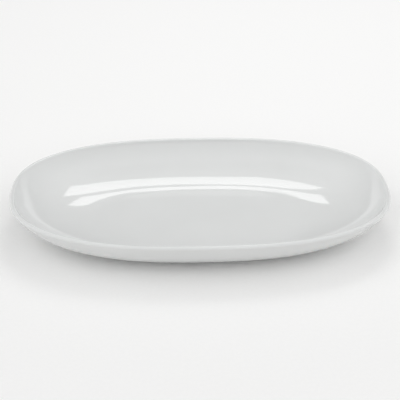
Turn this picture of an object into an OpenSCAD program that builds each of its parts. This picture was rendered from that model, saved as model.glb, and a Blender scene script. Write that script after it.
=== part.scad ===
// Oval coupe serving platter in glazed porcelain.
//
// The fired body is one piece: a flat well, a wall that curves up to a round
// lip, and a low foot ring underneath. One layer of glaze covers everything
// that shows, and a second one lines the recess inside the foot ring. The face
// that the platter stands on is bare.
//
// Origin: the middle of the platter, on the plane it stands on. +X runs along
// the length, +Y across the width and +Z up. Millimetres and degrees.

/* [Outline] */
// Overall length, lip to lip
length = 380; // [300:5:420]
// Overall width, lip to lip
width = 220; // [180:5:260]
// Exponent of the outline: 2 is an ellipse, more is squarer
squareness = 2.475; // [2.1:0.025:3.2]

/* [Wall] */
// Thickness of the fired wall, glaze included
wall_t = 4.6; // [3.6:0.1:6]
// Slope of the side wall where it meets the lip
lip_slope = 70.5; // [55:0.5:75]
// Slope where the wall turns into the heel
heel_slope = 25; // [15:1:35]
// Radius of the side wall in cross section
wall_r = 53; // [42:1:60]
// Radius of the heel, which runs out into the flat well
heel_r = 62; // [40:1:75]
// How much wider the wall and heel are at the ends than at the sides
end_stretch = 1.5; // [1:0.05:1.7]

/* [Foot ring] */
// Height of the foot ring
foot_h = 2.5; // [2.2:0.1:3.5]
// Width of the flat face it stands on
foot_land = 3; // [2:0.5:5]
// Radius of the corners of that face
land_r = 0.7; // [0.4:0.1:0.7]
// Radius of the fillets at the root of the foot
root_r = 1; // [0.6:0.1:1]

/* [Glaze] */
// Thickness of the fired glaze
glaze_t = 0.3; // [0.2:0.05:0.4]
// Height of the bare band above the standing face
bare_h = 1; // [0.8:0.1:1.3]

/* [Detail] */
// Columns of facets around the outline
columns = 72; // [40:4:96]
// Rows of facets on the wall, and as many again on the inside
wall_rows = 5; // [3:1:8]
// Rows of facets on the heel, and as many again on the inside
heel_rows = 4; // [3:1:8]
// Rows of facets on each corner and fillet of the foot
foot_rows = 2; // [2:1:4]

/* [Hidden] */

// Half the fired body, measured from the middle surface of the wall.
body_half = wall_t / 2 - glaze_t;

// Half length and half width of the middle line of the lip.
lip_a = length / 2 - wall_t / 2;
lip_b = width / 2 - wall_t / 2;

// How far the middle surface has run inwards, and how far it has dropped,
// where its slope has eased from lip_slope to the slope q.
function run(q) =
    wall_r * (sin(lip_slope) - sin(max(q, heel_slope)))
    + heel_r * (sin(heel_slope) - sin(min(q, heel_slope)));
function drop(q) =
    wall_r * (cos(max(q, heel_slope)) - cos(lip_slope))
    + heel_r * (cos(min(q, heel_slope)) - cos(heel_slope));

// Height of the body's bare underside, and of the middle line of the lip.
seat_z = foot_h + glaze_t;
lip_z = foot_h + wall_t / 2 + drop(0);

// Insets of the foot's outer flank, its standing face and its inner flank,
// all measured inwards from the edge of the flat well.
flank_in = root_r;
land_in = flank_in + land_r;
land_out = land_in + foot_land;
inner_in = land_out + land_r;

// ---- Outline ----

// Half length and half width of the ring that lies w inside the lip.
function half_axes(w) = [lip_a - end_stretch * w, lip_b - w];

// Share of its half axes that the outline reaches in the direction a.
function reach(a) =
    pow(pow(abs(cos(a)), squareness) + pow(abs(sin(a)), squareness), -1 / squareness)
    * [cos(a), sin(a)];

// Point of that ring in the direction a, and its outward normal in plan.
function ring_point(w, a) = [for (i = [0, 1]) half_axes(w)[i] * reach(a)[i]];
function ring_normal(w, a) =
    let (steep = [for (i = [0, 1]) sign(reach(a)[i]) * pow(abs(reach(a)[i]), squareness - 1)],
         across = [for (i = [0, 1]) steep[i] / half_axes(w)[i]])
    across / norm(across);

// How much further apart the rings lie in the direction a than at the sides.
function spread(w, a) = [end_stretch * reach(a).x, reach(a).y] * ring_normal(w, a);

// ---- Stations ----
//
// A station is one ring of the surface. It holds how far its ring lies inside
// the lip, its inset from that ring, its height, the slope of the side wall
// there, the way it faces, and how far the body stands off from it.
//
// A station faces: -1 level, inwards; 0 along the outside normal; 1 level,
// outwards; 2 straight up; 3 along the inside normal.

function wall_station(q, facing) = [run(q), 0, lip_z - drop(q), q, facing, body_half];
function foot_station(inset, z, facing) = [run(0), inset, z, 0, facing, 0];

// Where a station's surface is in the direction a, raised by a layer.
function station_point(s, a, layer) =
    let (slope = atan(tan(s[3]) / spread(s[0], a)),
         tilt = lookup(s[4], [[-1, -180], [0, slope - 90], [1, 0], [2, 90], [3, slope + 90]]),
         off = s[5] + layer,
         flat = ring_point(s[0], a) + ring_normal(s[0], a) * (off * cos(tilt) - s[1]))
    [flat.x, flat.y, s[2] + off * sin(tilt)];

// Slopes of the side wall from the well up to just under the lip.
heel_slopes = [for (i = [0 : heel_rows - 1]) heel_slope * i / heel_rows];
wall_slopes = [for (i = [0 : wall_rows]) heel_slope + (lip_slope - heel_slope) * i / wall_rows];
slopes = concat(heel_slopes, wall_slopes);
last = len(slopes) - 1;

// Turns from 0 to 1 round a corner or a fillet of the foot.
turns = [for (i = [0 : foot_rows]) i / foot_rows];
turns_back = [for (t = turns) 1 - t];

// Ways the lip faces between the outside and the inside of the wall.
lip_facings = [1/2, 1, 4/3, 5/3, 2, 7/3, 8/3];

outer_wall = [for (q = slopes) wall_station(q, 0)];
lip = [for (facing = lip_facings) wall_station(lip_slope, facing)];
inner_wall = [for (i = [last : -1 : 0]) wall_station(slopes[i], 3)];

// The foot ring, from the ceiling of its recess to the outside of its root.
recess = [for (t = turns_back)
    foot_station(inner_in + root_r * (1 - cos(90 * t)), seat_z - root_r * (1 - sin(90 * t)), t - 1)];
inner_edge = [foot_station(inner_in, bare_h, -1)];
inner_corner = [for (t = turns_back)
    foot_station(land_out + land_r * sin(90 * t), land_r * (1 - cos(90 * t)), -t)];
outer_corner = [for (t = turns_back)
    foot_station(land_in - land_r * cos(90 * t), land_r * (1 - sin(90 * t)), 1 - t)];
outer_edge = [foot_station(flank_in, bare_h, 1)];
outer_root = [for (t = turns_back) if (t > 0)
    foot_station(root_r * sin(90 * t), seat_z - root_r * (1 - cos(90 * t)), t)];

bare_foot = concat(inner_edge, inner_corner, outer_corner);
glazed_side = concat(outer_edge, outer_root, outer_wall, lip, inner_wall);
glazed_base = concat(recess, inner_edge);

// ---- Surfaces ----

function reversed(list) = [for (i = [len(list) - 1 : -1 : 0]) list[i]];

// One ring of points for each station.
function rings(stations, layer) =
    [for (s = stations, j = [0 : columns - 1]) station_point(s, 360 * j / columns, layer)];

// Two triangles for one cell between ring k and the next, cut along one
// diagonal or the other.
function cell(k, j, other) =
    let (a = k * columns + j,
         b = a + columns,
         d = k * columns + (j + 1) % columns,
         c = d + columns)
    other ? [[a, b, d], [b, c, d]] : [[a, b, c], [a, c, d]];

// Solid whose surface runs from a lower flat end, through the rings of points
// in their order, to an upper flat end.
module loft(points, other) {
    bands = len(points) / columns - 1;
    sides = [for (k = [0 : bands - 1], j = [0 : columns - 1]) each cell(k, j, other)];
    lower = [for (j = [0 : columns - 1]) j];
    upper = [for (j = [columns - 1 : -1 : 0]) bands * columns + j];
    polyhedron(points, concat([lower, upper], sides));
}

// ---- Pieces ----

// The fired porcelain: well, wall, lip and foot ring in one piece.
module porcelain_body() {
    color("#efeeea")
        loft(rings(concat(recess, bare_foot, glazed_side), 0), false);
}

// The glaze over the well, the lip and the outside, down to the bare foot.
module glaze_coat() {
    color("#f6f8f7")
        loft(concat(rings(reversed(glazed_side), 0), rings(glazed_side, glaze_t)), true);
}

// The glaze that lines the recess inside the foot ring.
module base_glaze() {
    color("#f3f6f6")
        loft(concat(rings(glazed_base, glaze_t), rings(reversed(glazed_base), 0)), true);
}

porcelain_body();
glaze_coat();
base_glaze();
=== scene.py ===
"""Oval coupe serving platter in glazed porcelain.

The three pieces of the platter are rebuilt as fine meshes from the rule that
shapes the CAD part: one outline, one wall curve and one thickness. Everything
is in metres in the CAD frame, and angles are in degrees.
"""
import math

import bpy
import numpy as np
from mathutils import Matrix, Vector

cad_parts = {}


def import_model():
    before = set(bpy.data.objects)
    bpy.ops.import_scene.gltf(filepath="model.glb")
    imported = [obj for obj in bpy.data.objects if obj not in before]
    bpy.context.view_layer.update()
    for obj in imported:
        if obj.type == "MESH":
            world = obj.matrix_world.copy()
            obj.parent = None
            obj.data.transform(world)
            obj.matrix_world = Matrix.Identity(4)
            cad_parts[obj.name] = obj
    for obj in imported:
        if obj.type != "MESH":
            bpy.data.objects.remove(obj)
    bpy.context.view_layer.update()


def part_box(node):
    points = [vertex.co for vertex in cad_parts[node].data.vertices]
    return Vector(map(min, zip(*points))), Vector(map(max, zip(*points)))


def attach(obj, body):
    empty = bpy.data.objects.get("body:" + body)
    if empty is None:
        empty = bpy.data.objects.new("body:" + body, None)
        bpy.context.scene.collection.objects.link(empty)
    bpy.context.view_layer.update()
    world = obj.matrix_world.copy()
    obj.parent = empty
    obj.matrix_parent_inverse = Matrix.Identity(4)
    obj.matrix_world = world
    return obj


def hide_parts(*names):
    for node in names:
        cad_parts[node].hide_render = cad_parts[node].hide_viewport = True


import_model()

MM = 0.001

# ---- Sizes that follow the frame ----

coat_low, coat_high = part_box("glaze_coat")
LENGTH = coat_high.x - coat_low.x
WIDTH = coat_high.y - coat_low.y
HEIGHT = coat_high.z

# ---- Outline and cross section, as in the CAD part ----

SQUARENESS = 2.475
WALL_T = 4.6 * MM
GLAZE_T = 0.3 * MM
LIP_SLOPE = 70.5
HEEL_SLOPE = 25.0
WALL_R = 53.0 * MM
HEEL_R = 62.0 * MM
END_STRETCH = 1.5

FOOT_H = 2.5 * MM
FOOT_LAND = 3.0 * MM
LAND_R = 0.7 * MM
ROOT_R = 1.0 * MM
BARE_H = 1.0 * MM

LIP_A = LENGTH / 2 - WALL_T / 2
LIP_B = WIDTH / 2 - WALL_T / 2
LIP_Z = HEIGHT - WALL_T / 2
SEAT_Z = FOOT_H + GLAZE_T

# ---- Ways a ring can face, or anywhere between one and the next; 2 is straight up ----

LEVEL_IN = -1.0
OUTER_NORMAL = 0.0
LEVEL_OUT = 1.0
INNER_NORMAL = 3.0

# ---- Fineness of the meshes ----

COLUMNS = 480
WALL_ROWS = 36
HEEL_ROWS = 24
LIP_ROWS = 36
FOOT_ROWS = 10
WELL_RINGS = 20


def sin(angle):
    return np.sin(np.radians(angle))


def cos(angle):
    return np.cos(np.radians(angle))


# ---- The platter's shape ----


def run(slope):
    """How far inside the lip the wall's middle surface is where it has this slope."""
    upper = WALL_R * (sin(LIP_SLOPE) - sin(max(slope, HEEL_SLOPE)))
    return upper + HEEL_R * (sin(HEEL_SLOPE) - sin(min(slope, HEEL_SLOPE)))


def drop(slope):
    """How far below the lip's middle line it is there."""
    upper = WALL_R * (cos(max(slope, HEEL_SLOPE)) - cos(LIP_SLOPE))
    return upper + HEEL_R * (cos(min(slope, HEEL_SLOPE)) - cos(HEEL_SLOPE))


AROUND = np.arange(COLUMNS) * 360.0 / COLUMNS
REACH = np.stack([cos(AROUND), sin(AROUND)])
REACH = REACH * np.sum(np.abs(REACH) ** SQUARENESS, axis=0) ** (-1 / SQUARENESS)


def outline(inside):
    """The outline that lies this far inside the lip: points, normals and spread."""
    axes = np.array([[LIP_A - END_STRETCH * inside], [LIP_B - inside]])
    normals = np.sign(REACH) * np.abs(REACH) ** (SQUARENESS - 1) / axes
    normals = normals / np.linalg.norm(normals, axis=0)
    spread = END_STRETCH * REACH[0] * normals[0] + REACH[1] * normals[1]
    return axes * REACH, normals, spread


def ring(inside, inset, height, slope, facing, stand_off):
    """One closed ring of points of a surface.

    It lies inset from the outline at inside, at that height, and stand_off out
    along the way it faces. The normals are those of a wall of that slope.
    """
    points, normals, spread = outline(inside)
    lean = np.degrees(np.arctan(np.tan(np.radians(slope)) / spread))
    level = 0 * lean
    tilts = [level - 180, lean - 90, level, level + 90, lean + 90]
    place = facing - LEVEL_IN
    low = min(int(place), len(tilts) - 2)
    share = place - low
    tilt = tilts[low] * (1 - share) + tilts[low + 1] * share
    flat = points + normals * (stand_off * cos(tilt) - inset)
    return np.stack([flat[0], flat[1], height + stand_off * sin(tilt)], axis=1)


def wall_ring(slope, facing, layer):
    """Ring of the wall, on the fired body or raised by a layer of glaze."""
    body_half = WALL_T / 2 - GLAZE_T
    return ring(run(slope), 0, LIP_Z - drop(slope), slope, facing, body_half + layer)


def foot_ring(inset, height, facing, layer):
    """Ring of the foot, inset from the edge of the flat well."""
    return ring(run(0.0), inset, height, 0, facing, layer)


def steps(count, first, last):
    """Evenly spaced values from first to last, both included."""
    return [first + (last - first) * i / count for i in range(count + 1)]


def side_rings(layer):
    """From the glaze line on the foot up the outside, over the lip and down to the well."""
    slopes = steps(HEEL_ROWS, 0.0, HEEL_SLOPE)[:-1] + steps(WALL_ROWS, HEEL_SLOPE, LIP_SLOPE)
    root = [
        foot_ring(ROOT_R * sin(90 * t), SEAT_Z - ROOT_R * (1 - cos(90 * t)), t, layer)
        for t in steps(FOOT_ROWS, 1.0, 0.0)[:-1]
    ]
    outside = [wall_ring(q, OUTER_NORMAL, layer) for q in slopes]
    lip_turns = steps(LIP_ROWS, OUTER_NORMAL, INNER_NORMAL)[1:-1]
    lip = [wall_ring(LIP_SLOPE, facing, layer) for facing in lip_turns]
    inside = [wall_ring(q, INNER_NORMAL, layer) for q in reversed(slopes)]
    return [foot_ring(ROOT_R, BARE_H, LEVEL_OUT, layer)] + root + outside + lip + inside


def recess_rings(layer):
    """From the ceiling of the recess down the foot's inner flank to the glaze line."""
    inner = ROOT_R + LAND_R + FOOT_LAND + LAND_R
    rings = [
        foot_ring(
            inner + ROOT_R * (1 - cos(90 * t)), SEAT_Z - ROOT_R * (1 - sin(90 * t)), t - 1, layer
        )
        for t in steps(FOOT_ROWS, 1.0, 0.0)
    ]
    return rings + [foot_ring(inner, BARE_H, LEVEL_IN, layer)]


def land_rings():
    """The bare foot, from the inner glaze line round the standing face to the outer one."""
    land_in = ROOT_R + LAND_R
    land_out = land_in + FOOT_LAND
    turns = steps(FOOT_ROWS, 1.0, 0.0)
    inner = [
        foot_ring(land_out + LAND_R * sin(90 * t), LAND_R * (1 - cos(90 * t)), -t, 0)
        for t in turns
    ]
    outer = [
        foot_ring(land_in - LAND_R * cos(90 * t), LAND_R * (1 - sin(90 * t)), 1 - t, 0)
        for t in turns
    ]
    return inner + outer


# ---- Meshes ----


def flat_rings(edge):
    """Rings that fill a flat end, from near its middle out to just inside its edge."""
    middle = np.array([0.0, 0.0, edge[0][2]])
    return [middle + (edge - middle) * share for share in steps(WELL_RINGS, 0.0, 1.0)[1:-1]]


def closed_mesh(name, rings):
    """Smooth closed solid through the rings, its first and last ones filled flat."""
    lower, upper = flat_rings(rings[0]), flat_rings(rings[-1])
    rows = lower + list(rings) + upper[::-1]
    tips = [(0.0, 0.0, float(row[0][2])) for row in (rows[0], rows[-1])]
    points = [tuple(map(float, p)) for row in rows for p in row] + tips
    low_tip = len(rows) * COLUMNS
    high_tip = low_tip + 1
    last = low_tip - COLUMNS
    faces = []
    for a in range(0, last, COLUMNS):
        b = a + COLUMNS
        for j in range(COLUMNS):
            i = (j + 1) % COLUMNS
            faces.append((a + j, a + i, b + i, b + j))
    for j in range(COLUMNS):
        i = (j + 1) % COLUMNS
        faces.append((low_tip, i, j))
        faces.append((high_tip, last + j, last + i))
    mesh = bpy.data.meshes.new(name)
    mesh.from_pydata(points, [], faces)
    mesh.validate()
    mesh.shade_smooth()
    piece = bpy.data.objects.new(name, mesh)
    bpy.context.scene.collection.objects.link(piece)
    return piece


# ---- Materials ----

# Nearly all of a noise's values lie between these two.
NOISE_LOW = 0.3
NOISE_HIGH = 0.7

GLAZE_IOR = 1.52


def new_material(name):
    """An empty material, with its node tree and its shader."""
    material = bpy.data.materials.new(name)
    material.use_nodes = True
    tree = material.node_tree
    tree.nodes.clear()
    shader = tree.nodes.new("ShaderNodeBsdfPrincipled")
    output = tree.nodes.new("ShaderNodeOutputMaterial")
    tree.links.new(shader.outputs["BSDF"], output.inputs["Surface"])
    return material, tree, shader


def noise(tree, size, detail=2.0, roughness=0.5):
    """Noise whose features are about this size, in metres."""
    place = tree.nodes.new("ShaderNodeTexCoord")
    node = tree.nodes.new("ShaderNodeTexNoise")
    node.inputs["Scale"].default_value = 1 / size
    node.inputs["Detail"].default_value = detail
    node.inputs["Roughness"].default_value = roughness
    tree.links.new(place.outputs["Object"], node.inputs["Vector"])
    return node.outputs["Fac"]


def mixed(tree, grain, first, second):
    """Colour that runs from first to second with a noise."""
    ramp = tree.nodes.new("ShaderNodeValToRGB")
    ends = ((NOISE_LOW, first), (NOISE_HIGH, second))
    for element, (place, colour) in zip(ramp.color_ramp.elements, ends):
        element.position = place
        element.color = (*colour, 1)
    tree.links.new(grain, ramp.inputs["Fac"])
    return ramp.outputs["Color"]


def ranged(tree, grain, low, high):
    """Value that runs from low to high with a noise."""
    node = tree.nodes.new("ShaderNodeMapRange")
    node.inputs["From Min"].default_value = NOISE_LOW
    node.inputs["From Max"].default_value = NOISE_HIGH
    node.inputs["To Min"].default_value = low
    node.inputs["To Max"].default_value = high
    tree.links.new(grain, node.inputs["Value"])
    return node.outputs["Result"]


def bumped(tree, height, distance, before=None):
    """Normal of a surface whose relief is this many metres high."""
    node = tree.nodes.new("ShaderNodeBump")
    node.inputs["Distance"].default_value = distance
    tree.links.new(height, node.inputs["Height"])
    if before is not None:
        tree.links.new(before, node.inputs["Normal"])
    return node.outputs["Normal"]


def glaze_material(name, light, shade, ripple):
    """Clear gloss glaze over white porcelain, with the faint ripple of a fired coat.

    ripple is the height of its long swell; a finer peel a hundredth as high lies on it.
    """
    material, tree, shader = new_material(name)
    cloud = noise(tree, 60 * MM, 3.0)
    tree.links.new(mixed(tree, cloud, shade, light), shader.inputs["Base Color"])
    polish = noise(tree, 9 * MM)
    tree.links.new(ranged(tree, polish, 0.035, 0.07), shader.inputs["Roughness"])
    shader.inputs["IOR"].default_value = GLAZE_IOR
    swell = bumped(tree, noise(tree, 26 * MM, 1.0), ripple)
    peel = bumped(tree, noise(tree, 2.2 * MM, 1.0), ripple / 100, swell)
    tree.links.new(peel, shader.inputs["Normal"])
    return material


def porcelain_material():
    """Bare fired porcelain: matte, faintly warm and finely grained."""
    material, tree, shader = new_material("bare_porcelain")
    grain = noise(tree, 0.5 * MM, 3.0, 0.7)
    colour = mixed(tree, grain, (0.60, 0.57, 0.52), (0.74, 0.72, 0.68))
    tree.links.new(colour, shader.inputs["Base Color"])
    tree.links.new(ranged(tree, grain, 0.55, 0.85), shader.inputs["Roughness"])
    tree.links.new(bumped(tree, grain, 0.04 * MM), shader.inputs["Normal"])
    return material


def floor_material():
    """Pale matte studio paper."""
    material, tree, shader = new_material("studio_paper")
    fibre = noise(tree, 3 * MM, 2.0)
    colour = mixed(tree, fibre, (0.925, 0.923, 0.918), (0.94, 0.938, 0.933))
    tree.links.new(colour, shader.inputs["Base Color"])
    shader.inputs["Roughness"].default_value = 0.9
    shader.inputs["Specular IOR Level"].default_value = 0.1
    return material


# ---- The platter ----


def dressed(name, rings, material):
    """A piece that stands for the CAD node of that name."""
    piece = closed_mesh(f"{name}_fine", rings)
    piece.data.materials.append(material)
    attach(piece, "root")
    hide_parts(name)
    return piece


def porcelain_body():
    rings = recess_rings(0) + land_rings() + side_rings(0)
    return dressed("porcelain_body", rings, porcelain_material())


def glaze_coat():
    rings = side_rings(0)[::-1] + side_rings(GLAZE_T)
    white = glaze_material("white_glaze", (0.75, 0.76, 0.755), (0.73, 0.74, 0.735), 0.03 * MM)
    return dressed("glaze_coat", rings, white)


def base_glaze():
    rings = recess_rings(GLAZE_T) + recess_rings(0)[::-1]
    white = glaze_material("base_glaze", (0.73, 0.74, 0.735), (0.70, 0.71, 0.705), 0.3 * MM)
    return dressed("base_glaze", rings, white)


# ---- The studio ----

# The camera, fitted to the platter's outline in the photo. It stands CAMERA_DISTANCE
# from the middle of the lip, and aims this much below it and to its left.
CAMERA_AZIMUTH = -3.04
CAMERA_ELEVATION = 30.21
CAMERA_ROLL = 0.573
CAMERA_DISTANCE = 1.0847
CAMERA_LENS = 97.04
AIM_BELOW = 10.4 * MM
AIM_LEFT = 0.7 * MM

# How bright the air is, low down, higher up and overhead. Each is graded towards an
# azimuth, 0 behind the platter and 90 to its right. Its (place, level) stops run from
# place 0, away from that azimuth, to place 1, towards it.
AIR_LOW = (-10, [(0.2, 0.05), (0.5, 1.15)])
AIR_HIGH = (0, [(0.05, 1.4), (0.5, 1.22), (0.95, 0.15)])
AIR_TOP = (0, [(0.0, 0.55), (1.0, 0.45)])

# Where the low air gives way to the high air, and that to the top, as (sine of the
# elevation, share) stops.
HORIZON_EDGE = [(0.25, 0.0), (0.31, 1.0)]
TOP_EDGE = [(0.84, 0.0), (0.96, 1.0)]

# The colour sockets of a Mix node. Its other kinds of socket have the same names.
MIX_A, MIX_B, MIX_RESULT = 6, 7, 2

# Half the side of the square floor.
FLOOR_HALF = 6.0


def camera():
    """Looks along +Y and down over the near long side, from a little to the left."""
    back = Vector((
        sin(CAMERA_AZIMUTH) * cos(CAMERA_ELEVATION),
        -cos(CAMERA_AZIMUTH) * cos(CAMERA_ELEVATION),
        sin(CAMERA_ELEVATION),
    ))
    rim = Vector((0, 0, LIP_Z))
    place = rim + back * CAMERA_DISTANCE
    level = Vector((cos(CAMERA_AZIMUTH), sin(CAMERA_AZIMUTH), 0))
    upward = back.cross(level)
    right = level * cos(CAMERA_ROLL) + upward * sin(CAMERA_ROLL)
    aim = rim - back.cross(right) * AIM_BELOW - right * AIM_LEFT
    back = (place - aim).normalized()
    right = (right - back * right.dot(back)).normalized()
    up = back.cross(right)
    data = bpy.data.cameras.new("camera")
    data.sensor_width = 36
    data.lens = CAMERA_LENS
    data.clip_start = 0.01
    seat = bpy.data.objects.new("camera", data)
    turn = Matrix((right, up, back)).transposed()
    seat.matrix_world = Matrix.Translation(place) @ turn.to_4x4()
    bpy.context.scene.collection.objects.link(seat)
    bpy.context.scene.camera = seat


def softbox(name, centre, size, turns, radiance):
    """Flat rectangular light that shines straight down where its turns are 0.

    It is turned about Z, then Y, then X, by turns given in the order X, Y, Z.
    radiance is how bright its face is.
    """
    data = bpy.data.lights.new(name, "AREA")
    data.shape = "RECTANGLE"
    data.size, data.size_y = size
    data.energy = radiance * math.pi * size[0] * size[1]
    lamp = bpy.data.objects.new(name, data)
    lamp.location = centre
    lamp.rotation_mode = "ZYX"
    lamp.rotation_euler = [math.radians(turn) for turn in turns]
    bpy.context.scene.collection.objects.link(lamp)


def floor():
    """Level sheet that the platter stands on."""
    mesh = bpy.data.meshes.new("floor")
    signs = ((-1, -1), (1, -1), (1, 1), (-1, 1))
    corners = [(FLOOR_HALF * x, FLOOR_HALF * y, 0) for x, y in signs]
    mesh.from_pydata(corners, [], [(0, 1, 2, 3)])
    mesh.materials.append(floor_material())
    sheet = bpy.data.objects.new("floor", mesh)
    bpy.context.scene.collection.objects.link(sheet)


def spread_over(tree, source, stops):
    """Grey level that follows the source through these (place, level) stops."""
    ramp = tree.nodes.new("ShaderNodeValToRGB")
    tree.links.new(source, ramp.inputs["Fac"])
    for place, _ in stops[2:]:
        ramp.color_ramp.elements.new(place)
    for element, (place, level) in zip(ramp.color_ramp.elements, stops):
        element.position = place
        element.color = (level, level, level, 1)
    return ramp.outputs["Color"]


def blended(tree, share, first, second):
    """Colour that goes from first to second as share goes from 0 to 1."""
    node = tree.nodes.new("ShaderNodeMix")
    node.data_type = "RGBA"
    tree.links.new(share, node.inputs["Factor"])
    tree.links.new(first, node.inputs[MIX_A])
    tree.links.new(second, node.inputs[MIX_B])
    return node.outputs[MIX_RESULT]


def towards(tree, direction, azimuth):
    """From 0 for a direction away from that azimuth to 1 for one towards it."""
    along = tree.nodes.new("ShaderNodeVectorMath")
    along.operation = "DOT_PRODUCT"
    along.inputs[1].default_value = (sin(azimuth), cos(azimuth), 0)
    tree.links.new(direction, along.inputs[0])
    share = tree.nodes.new("ShaderNodeMapRange")
    share.inputs["From Min"].default_value = -1
    tree.links.new(along.outputs["Value"], share.inputs["Value"])
    return share.outputs["Result"]


def world():
    """Studio air, graded from front to back near the horizon, above it and overhead."""
    air = bpy.data.worlds.new("studio")
    air.use_nodes = True
    tree = air.node_tree
    direction = tree.nodes.new("ShaderNodeTexCoord").outputs["Generated"]
    split = tree.nodes.new("ShaderNodeSeparateXYZ")
    tree.links.new(direction, split.inputs["Vector"])
    low, high, top = (
        spread_over(tree, towards(tree, direction, azimuth), levels)
        for azimuth, levels in (AIR_LOW, AIR_HIGH, AIR_TOP)
    )
    height = split.outputs["Z"]
    side = blended(tree, spread_over(tree, height, HORIZON_EDGE), low, high)
    all_round = blended(tree, spread_over(tree, height, TOP_EDGE), side, top)
    tree.links.new(all_round, tree.nodes["Background"].inputs["Color"])
    bpy.context.scene.world = air


def studio():
    """Air, floor and the two lights that make the long double highlight."""
    world()
    floor()
    softbox(
        "softbox_main",
        centre=(0.162, 0.643, 1.2), size=(0.46, 0.49), turns=(-51, -14, 21.5), radiance=3.4,
    )
    softbox(
        "softbox_strip",
        centre=(0.067, 1.26, 1.2), size=(0.232, 0.3), turns=(-42.5, 9, -8.5), radiance=3.0,
    )


camera()
porcelain_body()
glaze_coat()
base_glaze()
studio()

bpy.context.scene.view_settings.view_transform = "Standard"
